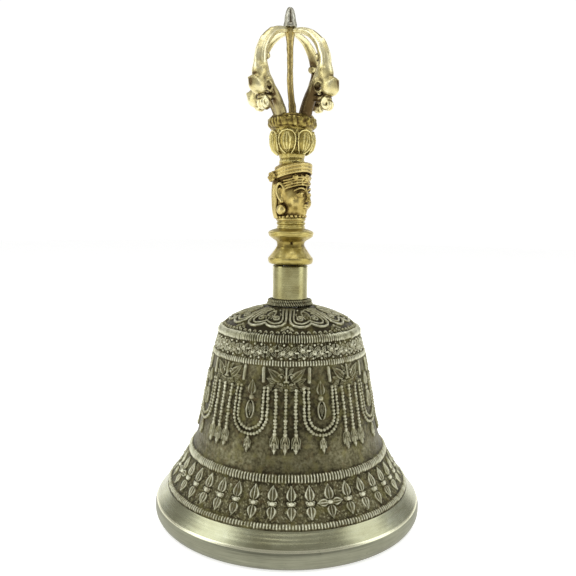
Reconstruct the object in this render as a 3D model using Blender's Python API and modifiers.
"""A Tibetan hand bell (drilbu): a cast bell with a flared lip, a brass handle and a hung clapper.

Metres, +Z up. The origin is the centre of the lip's flat underside. Two of the four prongs stand
along -Y and +Y, and the face on the handle looks between -Y and +X, a little off -Y. Every outline
is a list of (radius, height) in millimetres.
"""

import math

import bmesh
import bpy
from mathutils import Matrix, Vector

MM = 0.001
GAP = 0.3  # clearance kept between pieces that touch on the bench

# Bell casting
LIP_RADIUS = 45.0
LIP_HEIGHT = 5.7
CROWN_RADIUS = 7.5
CROWN_TOP = 71.0
CROWN_BORE = 3.2
SEAT_UNDER_CROWN = 66.6
WALL = 2.6

# Stack along the axis
SEAT_WASHER_THICKNESS = 0.8
FERRULE_RADIUS = 5.95
FERRULE_WALL = 0.9
FERRULE_TOP = 83.9
STUD_RADIUS = 2.5
STUD_TOP = 96.0
NUT_ACROSS_FLATS = 8.0
NUT_HEIGHT = 3.2
WASHER_THICKNESS = 1.2
WASHER_RADIUS = 7.6

# Eye of the stud, thong and clapper
EYE_RING = 3.2
EYE_WIRE = 1.2
EYE_CENTRE = 57.0
THONG_WIRE = 0.75
THONG_TOP = EYE_CENTRE - EYE_RING + EYE_WIRE + GAP + THONG_WIRE
THONG_BOTTOM = 47.6
CLAPPER_EYE_RING = 3.0
CLAPPER_EYE_WIRE = 1.2
PIVOT = THONG_BOTTOM + THONG_WIRE + GAP + CLAPPER_EYE_WIRE
CLAPPER_ROD = 1.4
BOB_RADIUS = 7.4
BOB_CENTRE = 14.5
BOB_BORE = CLAPPER_ROD + GAP

# Handle
HANDLE_BOTTOM = FERRULE_TOP + GAP
HANDLE_TOP = 133.5
ROD_RADIUS = 1.1
ROD_SOCKET = 4.0
HEAD_CENTRE = 107.6
HEAD_HALF = (6.3, 7.0, 8.2)
ROSETTE_HEIGHT = 113.2
EARRING_HEIGHT = 101.8
EAR_OFFSET = 6.1
HEAD_TURN = math.radians(2.0)
PETALS = 7
FIRST_PETAL = math.radians(39.4)
PETAL_CENTRE = 124.4
PETAL_RING = 5.1

# Prong cage
PRONGS = ("front", "right", "back", "left")
PRONG_TIP_RADIUS = 2.1
FINIAL_BASE = 161.5
FINIAL_TOP = 167.8
FINIAL_RADIUS = 2.2


def clear_scene():
    """Removes every object, so that the model starts from an empty scene."""
    for item in list(bpy.data.objects):
        bpy.data.objects.remove(item)


def new_collection(name):
    """Makes a collection in the scene."""
    group = bpy.data.collections.new(name)
    bpy.context.scene.collection.children.link(group)
    return group


def metal(name, colour, roughness, metallic=1.0):
    """A plain Principled material."""
    material = bpy.data.materials.new(name)
    material.use_nodes = True
    shader = material.node_tree.nodes["Principled BSDF"]
    shader.inputs["Base Color"].default_value = (*colour, 1.0)
    shader.inputs["Roughness"].default_value = roughness
    shader.inputs["Metallic"].default_value = metallic
    return material


def place(name, mesh, group, material):
    """Puts a mesh in a collection as a named object."""
    item = bpy.data.objects.new(name, mesh)
    group.objects.link(item)
    item.data.materials.append(material)
    item.data.shade_smooth()
    item.data.set_sharp_from_angle(angle=math.radians(35))
    return item


def curve_through(points, per_span):
    """Points along a Catmull-Rom curve through the given points, ends included."""
    ends = [2 * Vector(points[0]) - Vector(points[1]), 2 * Vector(points[-1]) - Vector(points[-2])]
    knots = [ends[0], *map(Vector, points), ends[1]]
    result = []
    for a, b, c, d in zip(knots, knots[1:], knots[2:], knots[3:]):
        for k in range(per_span):
            t = k / per_span
            result.append(
                0.5 * (2 * b + (c - a) * t + (2 * a - 5 * b + 4 * c - d) * t * t
                       + (3 * b - a - 3 * c + d) * t ** 3)
            )
    return [tuple(p) for p in result] + [tuple(knots[-2])]


def turned(name, outline, group, material, steps, closed=False):
    """A turned piece: the outline at +X, outer side from top to bottom, swept round Z."""
    mesh = bpy.data.meshes.new(name)
    points = [(r * MM, 0.0, z * MM) for r, z in outline]
    edges = [(i, i + 1) for i in range(len(points) - 1)]
    if closed:
        edges.append((len(points) - 1, 0))
    mesh.from_pydata(points, edges, [])
    item = bpy.data.objects.new(name, mesh)
    group.objects.link(item)
    item.data.materials.append(material)
    screw = item.modifiers.new("Turned", "SCREW")
    screw.steps = steps
    screw.render_steps = steps
    screw.use_merge_vertices = True
    screw.merge_threshold = 0.00001
    screw.use_smooth_shade = True
    return item


def frozen(item):
    """Replaces an object by a mesh object of its evaluated shape, with loose caps welded."""
    bpy.context.view_layer.update()
    source = item.evaluated_get(bpy.context.evaluated_depsgraph_get())
    mesh = bpy.data.meshes.new_from_object(source)
    mesh.transform(item.matrix_world)
    name, group = item.name, item.users_collection[0]
    work = bmesh.new()
    work.from_mesh(mesh)
    bmesh.ops.remove_doubles(work, verts=work.verts, dist=0.00001)
    bmesh.ops.recalc_face_normals(work, faces=work.faces)
    work.to_mesh(mesh)
    work.free()
    bpy.data.objects.remove(item)
    result = bpy.data.objects.new(name, mesh)
    group.objects.link(result)
    return result


def tube(name, path, radii, group, material, closed=False, resolution=2):
    """A round wire along points in millimetres, with a radius at each point."""
    curve = bpy.data.curves.new(name, "CURVE")
    curve.dimensions = "3D"
    curve.bevel_depth = MM
    curve.bevel_resolution = resolution
    curve.use_fill_caps = not closed
    spline = curve.splines.new("POLY")
    spline.points.add(len(path) - 1)
    for point, place_mm, radius in zip(spline.points, path, radii):
        point.co = (*(Vector(place_mm) * MM), 1.0)
        point.radius = radius
    spline.use_cyclic_u = closed
    item = bpy.data.objects.new(name, curve)
    group.objects.link(item)
    item.data.materials.append(material)
    return item


def ball(name, centre, half_sizes, group, segments=16, rings=10):
    """An ellipsoid, for joining to a casting."""
    work = bmesh.new()
    bmesh.ops.create_uvsphere(work, u_segments=segments, v_segments=rings, radius=1.0)
    bmesh.ops.scale(work, vec=Vector(half_sizes) * MM, verts=work.verts)
    bmesh.ops.translate(work, vec=Vector(centre) * MM, verts=work.verts)
    mesh = bpy.data.meshes.new(name)
    work.to_mesh(mesh)
    work.free()
    item = bpy.data.objects.new(name, mesh)
    group.objects.link(item)
    item.hide_render = True
    item.display_type = "WIRE"
    return item


def ring(name, centre, ring_radius, wire, group, around="X", steps=16, resolution=2):
    """A closed wire ring as a mesh, for joining. around is the axis that it goes round."""
    path = []
    for k in range(steps):
        angle = 2 * math.pi * k / steps
        a, b = ring_radius * math.cos(angle), ring_radius * math.sin(angle)
        offset = {"X": (0.0, a, b), "Y": (a, 0.0, b), "Z": (a, b, 0.0)}[around]
        path.append(Vector(centre) + Vector(offset))
    item = frozen(tube(name, path, [wire] * steps, group, None, closed=True, resolution=resolution))
    item.hide_render = True
    item.display_type = "WIRE"
    return item


def join(item, others):
    """Unions the other solids into the item with Boolean modifiers."""
    for other in others:
        union = item.modifiers.new("Join_" + other.name, "BOOLEAN")
        union.operation = "UNION"
        union.solver = "EXACT"
        union.object = other
        other.hide_render = True
        other.display_type = "WIRE"
    return item


def bell_outline():
    """The bell's closed section: crown, dome, wall, flare, lip, then back up the inside."""
    outside = [
        (CROWN_BORE, CROWN_TOP), (CROWN_RADIUS, CROWN_TOP), (CROWN_RADIUS, CROWN_TOP - 1.0),
    ]
    outside += curve_through([
        (CROWN_RADIUS + 0.6, 69.9), (13.2, 68.8), (17.6, 67.1), (21.0, 65.2), (22.8, 63.2),
        (23.7, 61.4),
    ], 2)
    outside += [(25.3, 55.9), (27.5, 45.0), (29.5, 34.1), (31.0, 27.0), (31.5, 25.9)]
    outside += curve_through([
        (32.8, 23.0), (34.6, 19.6), (36.5, 16.4), (38.5, 13.4), (40.6, 10.8), (42.7, 8.4),
        (44.0, 6.9), (LIP_RADIUS - 0.3, LIP_HEIGHT),
    ], 2)
    outside += [(LIP_RADIUS, LIP_HEIGHT - 0.6), (LIP_RADIUS, 2.4), (44.3, 1.0), (43.6, 0.3), (42.8, 0.0)]
    inside = [(41.2, 0.0), (40.5, 0.7), (40.2, 3.6), (38.9, 7.2)]
    inside += [(36.6, 11.4), (34.4, 14.9), (32.4, 18.5), (30.2, 22.6), (28.7, 27.0)]
    inside += [(29.6 - WALL + 0.1, 34.1), (27.5 - WALL + 0.1, 45.0), (25.3 - WALL + 0.1, 55.9)]
    inside += [(21.6, 60.6), (19.8, 63.0), (15.6, 65.1), (9.6, SEAT_UNDER_CROWN)]
    inside += [(CROWN_BORE, SEAT_UNDER_CROWN)]
    return outside + inside


def make_bell(group, bronze):
    """The cast bell, open below, with the stud's bore through its crown."""
    return turned("bell_shell", bell_outline(), group, bronze, 48, closed=True)


def washer(name, inner, outer, bottom, thickness, group, material, steps=24):
    """A flat washer with a small bevel round its outer edge."""
    bevel = min(0.3, thickness / 4)
    top = bottom + thickness
    outline = [
        (inner, top), (outer - bevel, top), (outer, top - bevel), (outer, bottom + bevel),
        (outer - bevel, bottom), (inner, bottom),
    ]
    return turned(name, outline, group, material, steps, closed=True)


def make_ferrule(group, brass):
    """The polished tube between the bell's crown and the handle."""
    bottom = CROWN_TOP + GAP + SEAT_WASHER_THICKNESS + GAP
    inner = FERRULE_RADIUS - FERRULE_WALL
    outline = [
        (inner, FERRULE_TOP), (FERRULE_RADIUS - 0.2, FERRULE_TOP),
        (FERRULE_RADIUS, FERRULE_TOP - 0.3), (FERRULE_RADIUS, bottom + 0.3),
        (FERRULE_RADIUS - 0.2, bottom), (inner, bottom),
    ]
    return turned("ferrule", outline, group, brass, 28, closed=True)


def make_nut(group, steel):
    """The hexagon nut that draws the stack together, with chamfered corners."""
    washer_bottom = SEAT_UNDER_CROWN - GAP - WASHER_THICKNESS
    top = washer_bottom - GAP
    work = bmesh.new()
    bmesh.ops.create_cone(
        work, cap_ends=True, segments=6, radius1=NUT_ACROSS_FLATS / math.sqrt(3) * MM,
        radius2=NUT_ACROSS_FLATS / math.sqrt(3) * MM, depth=NUT_HEIGHT * MM,
    )
    bmesh.ops.translate(work, vec=(0, 0, (top - NUT_HEIGHT / 2) * MM), verts=work.verts)
    mesh = bpy.data.meshes.new("crown_nut")
    work.to_mesh(mesh)
    work.free()
    return place("crown_nut", mesh, group, steel)


def bored(item, radius, bottom, top, cutters, steps=20):
    """Bores a round hole along the axis."""
    outline = [(0.0, top), (radius, top), (radius, bottom), (0.0, bottom)]
    cutter = turned("cut_" + item.name, outline, cutters, item.data.materials[0], steps)
    cutter.hide_render = True
    cutter.display_type = "WIRE"
    cut = item.modifiers.new("Bore", "BOOLEAN")
    cut.operation = "DIFFERENCE"
    cut.solver = "EXACT"
    cut.object = cutter
    return item


def make_stud(group, cutters, steel):
    """The stud through crown, ferrule and handle, with a forged eye at its lower end."""
    shoulder = EYE_CENTRE + EYE_RING - 0.2
    outline = [
        (0.0, STUD_TOP), (STUD_RADIUS - 0.6, STUD_TOP), (STUD_RADIUS, STUD_TOP - 0.6),
        (STUD_RADIUS, shoulder + 1.2), (1.6, shoulder), (0.0, shoulder),
    ]
    stud = turned("eye_stud", outline, group, steel, 20)
    eye = ring("stud_eye", (0, 0, EYE_CENTRE), EYE_RING, EYE_WIRE, cutters, around="Y", steps=20)
    return join(stud, [eye])


def make_thong(group, leather):
    """The leather lace: one closed loop through the stud's eye and the clapper's eye."""
    half = EYE_WIRE + GAP + THONG_WIRE + 0.05
    middle = (THONG_TOP + THONG_BOTTOM) / 2
    straight = (THONG_TOP - THONG_BOTTOM) / 2 - half
    path = []
    for turn, sign in ((0.0, 1), (math.pi, -1)):
        for k in range(9):
            angle = turn + math.pi * k / 8
            path.append((0.0, half * math.cos(angle), middle + sign * straight + half * math.sin(angle)))
    return frozen_with(tube("leather_thong", path, [THONG_WIRE] * len(path), group, leather,
                            closed=True), leather)


def frozen_with(item, material):
    """frozen, then the material and smooth shading again."""
    result = frozen(item)
    result.data.materials.clear()
    result.data.materials.append(material)
    result.data.shade_smooth()
    result.data.set_sharp_from_angle(angle=math.radians(35))
    return result


def make_clapper(group, cutters, steel, bronze):
    """The clapper: a rod with an eye, and a turned bob held on the rod's riveted end."""
    eye_centre = PIVOT - CLAPPER_EYE_RING
    rod_top = eye_centre - CLAPPER_EYE_RING + 0.3
    bob_bottom = BOB_CENTRE - BOB_RADIUS * 0.92
    rivet = bob_bottom - GAP
    outline = [
        (0.0, rod_top), (CLAPPER_ROD, rod_top), (CLAPPER_ROD, rivet), (CLAPPER_ROD + 1.0, rivet),
        (CLAPPER_ROD + 0.9, rivet - 0.7), (CLAPPER_ROD * 0.6, rivet - 1.2), (0.0, rivet - 1.3),
    ]
    rod = turned("clapper_rod", outline, group, steel, 16)
    eye = ring("clapper_eye", (0, 0, eye_centre), CLAPPER_EYE_RING, CLAPPER_EYE_WIRE, cutters,
               around="Y", steps=18)
    join(rod, [eye])
    rod.location = (0.0, 0.0, PIVOT * MM)
    rod.data.transform(translation(-PIVOT))

    outline = [(BOB_BORE, BOB_CENTRE + BOB_RADIUS + 2.6), (BOB_BORE + 0.9, BOB_CENTRE + BOB_RADIUS + 2.2)]
    for k in range(11):
        angle = math.radians(62 - 124 * k / 10)
        swell = 1.0 + 0.10 * max(0.0, math.sin(angle))
        outline.append((BOB_RADIUS * math.cos(angle), BOB_CENTRE + BOB_RADIUS * math.sin(angle) * swell))
    outline += [(2.9, bob_bottom), (BOB_BORE, bob_bottom)]
    bob = turned("clapper_bob", outline, group, bronze, 22, closed=True)
    bob.location = (0.0, 0.0, PIVOT * MM)
    bob.data.transform(translation(-PIVOT))
    return rod, bob


def translation(height_mm):
    """A matrix that lifts by a height in millimetres."""
    return Matrix.Translation((0.0, 0.0, height_mm * MM))


def handle_outline():
    """The handle casting's section, from the rod's socket over the outside to the stud's bore."""
    socket = ROD_RADIUS + GAP
    outline = [(0.0, HANDLE_TOP - ROD_SOCKET), (socket, HANDLE_TOP - ROD_SOCKET), (socket, HANDLE_TOP)]
    outline += [(6.9, HANDLE_TOP - 0.1)]
    outline += curve_through([(7.5, 132.4), (8.0, 130.5), (7.4, 128.6)], 2)
    outline += curve_through([(7.1, 127.9), (7.7, 126.0), (7.7, 123.6), (6.6, 121.7), (5.2, 120.8)], 2)
    outline += [(4.4, 119.8), (4.3, 118.2), (5.4, 117.2), (5.4, 101.5)]
    outline += [(4.9, 100.8), (5.1, 99.6), (4.6, 98.6), (4.6, 97.2)]
    outline += [(6.6, 95.9), (7.7, 95.0), (7.3, 93.8), (5.4, 92.2), (4.8, 90.9), (5.1, 89.6)]
    outline += [(6.4, 88.1), (7.3, 86.8), (7.6, 85.5), (7.2, HANDLE_BOTTOM + 0.3), (6.2, HANDLE_BOTTOM)]
    bore = STUD_RADIUS + GAP
    return outline + [(bore, HANDLE_BOTTOM), (bore, STUD_TOP + GAP), (0.0, STUD_TOP + GAP)]


def make_handle(group, cutters, brass):
    """The handle casting: double flange, crowned head and lotus cup in one piece."""
    handle = turned("handle_casting", handle_outline(), group, brass, 24)
    pieces = [ball("head", (0, 0, HEAD_CENTRE), HEAD_HALF, cutters, 16, 12)]
    pieces.append(ball("crown_band", (0, 0.3, 113.6), (6.6, 6.9, 3.2), cutters, 16, 8))
    pieces.append(ball("nose", (0, -6.9, 106.3), (0.9, 1.1, 1.9), cutters, 8, 6))
    for side in (-1, 1):
        x = side * EAR_OFFSET
        pieces.append(ball("rosette", (x, 2.6, ROSETTE_HEIGHT), (1.6, 2.0, 2.0), cutters, 10, 6))
        pieces.append(ball("ear", (x * 0.98, 0.2, 107.0), (1.0, 1.3, 3.2), cutters, 8, 6))
        pieces.append(ball("earring", (x, 0.0, EARRING_HEIGHT), (1.2, 1.9, 1.9), cutters, 10, 6))
    for piece in pieces:
        turned_about_axis(piece, HEAD_TURN)
    for k in range(PETALS):
        angle = FIRST_PETAL + 2 * math.pi * k / PETALS
        centre = (PETAL_RING * math.sin(angle), -PETAL_RING * math.cos(angle), PETAL_CENTRE)
        petal = ball("petal", centre, (2.9, 2.9, 3.6), cutters, 8, 6)
        pieces.append(petal)
    return join(handle, pieces)


def turned_about_axis(item, angle):
    """Turns an object's mesh about Z."""
    item.data.transform(Matrix.Rotation(angle, 4, "Z"))
    return item


def prong_path():
    """The prong's centre line from its foot to the top, as (radius, height, half thickness)."""
    return curve_through([
        (5.8, 135.3, 1.6), (7.0, 137.0, 1.6), (9.3, 140.2, 1.6), (12.3, 144.2, 1.8),
        (14.2, 147.6, 2.1), (14.0, 150.4, 1.9), (12.4, 153.2, 1.8), (10.4, 156.0, 1.6),
        (7.9, 158.4, 1.4), (5.0, 159.8, 1.1), (PRONG_TIP_RADIUS, 160.2, 0.9),
    ], 2)


def make_prong(place_name, angle, group, cutters, brass):
    """One prong of the cage: stem, sea-monster head with a curled jaw, and the arc to the top."""
    path = [(0.0, -r, z) for r, z, _ in prong_path()]
    half = [thickness for _, _, thickness in prong_path()]
    base = frozen_with(tube("prong_" + place_name, path, half, group, brass), brass)
    snout = ball("beast_snout", (0, -16.0, 140.3), (2.9, 3.2, 3.2), cutters, 12, 8)
    brow = ball("beast_brow", (0, -14.7, 145.2), (2.3, 2.1, 2.3), cutters, 10, 6)
    curl = ring("jaw_curl", (0, -14.7, 136.2), 1.7, 0.85, cutters, around="X", steps=12)
    for piece in (base, snout, brow, curl):
        turned_about_axis(piece, angle)
    return join(base, [snout, brow, curl])


def make_rod(group, brass):
    """The straight central prong, widening where it meets the arcs."""
    bottom = HANDLE_TOP - ROD_SOCKET + GAP
    top = FINIAL_BASE - GAP
    outline = [
        (0.0, top), (1.75, top), (1.75, top - 1.6), (1.25, top - 4.0), (ROD_RADIUS, top - 7.0),
        (ROD_RADIUS, 137.0), (ROD_RADIUS, bottom), (0.0, bottom),
    ]
    return turned("central_prong", outline, group, brass, 16)


def make_finial(group, nickel):
    """The bullet-shaped tip over the meeting of the prongs."""
    outline = [(0.0, FINIAL_TOP)]
    outline += curve_through([
        (0.7, FINIAL_TOP - 0.4), (1.5, FINIAL_TOP - 1.6), (2.0, FINIAL_TOP - 3.2),
        (FINIAL_RADIUS, FINIAL_TOP - 4.6), (2.5, FINIAL_BASE + 0.3),
    ], 2)
    outline += [(2.3, FINIAL_BASE), (0.0, FINIAL_BASE)]
    return turned("finial_tip", outline, group, nickel, 24)


def main():
    clear_scene()
    parts = new_collection("tibetan_bell")
    cutters = new_collection("construction")

    bronze = metal("antique_bronze", (0.33, 0.30, 0.23), 0.42)
    brass = metal("cast_brass", (0.62, 0.47, 0.19), 0.38)
    polished = metal("polished_brass", (0.60, 0.53, 0.30), 0.24)
    steel = metal("plain_steel", (0.45, 0.44, 0.42), 0.40)
    nickel = metal("grey_finial", (0.55, 0.54, 0.48), 0.34)
    leather = metal("leather_lace", (0.16, 0.08, 0.04), 0.75, metallic=0.0)

    make_bell(parts, bronze)
    washer("seat_washer", STUD_RADIUS + GAP, CROWN_RADIUS, CROWN_TOP + GAP,
           SEAT_WASHER_THICKNESS, parts, bronze)
    make_ferrule(parts, polished)
    washer("crown_washer", STUD_RADIUS + GAP, WASHER_RADIUS,
           SEAT_UNDER_CROWN - GAP - WASHER_THICKNESS, WASHER_THICKNESS, parts, steel)
    bored(make_nut(parts, steel), STUD_RADIUS + GAP, 50.0, 80.0, cutters)
    make_stud(parts, cutters, steel)
    make_thong(parts, leather)
    make_clapper(parts, cutters, steel, bronze)
    make_handle(parts, cutters, brass)
    for k, place_name in enumerate(PRONGS):
        make_prong(place_name, k * math.pi / 2, parts, cutters, brass)
    make_rod(parts, brass)
    make_finial(parts, nickel)


main()
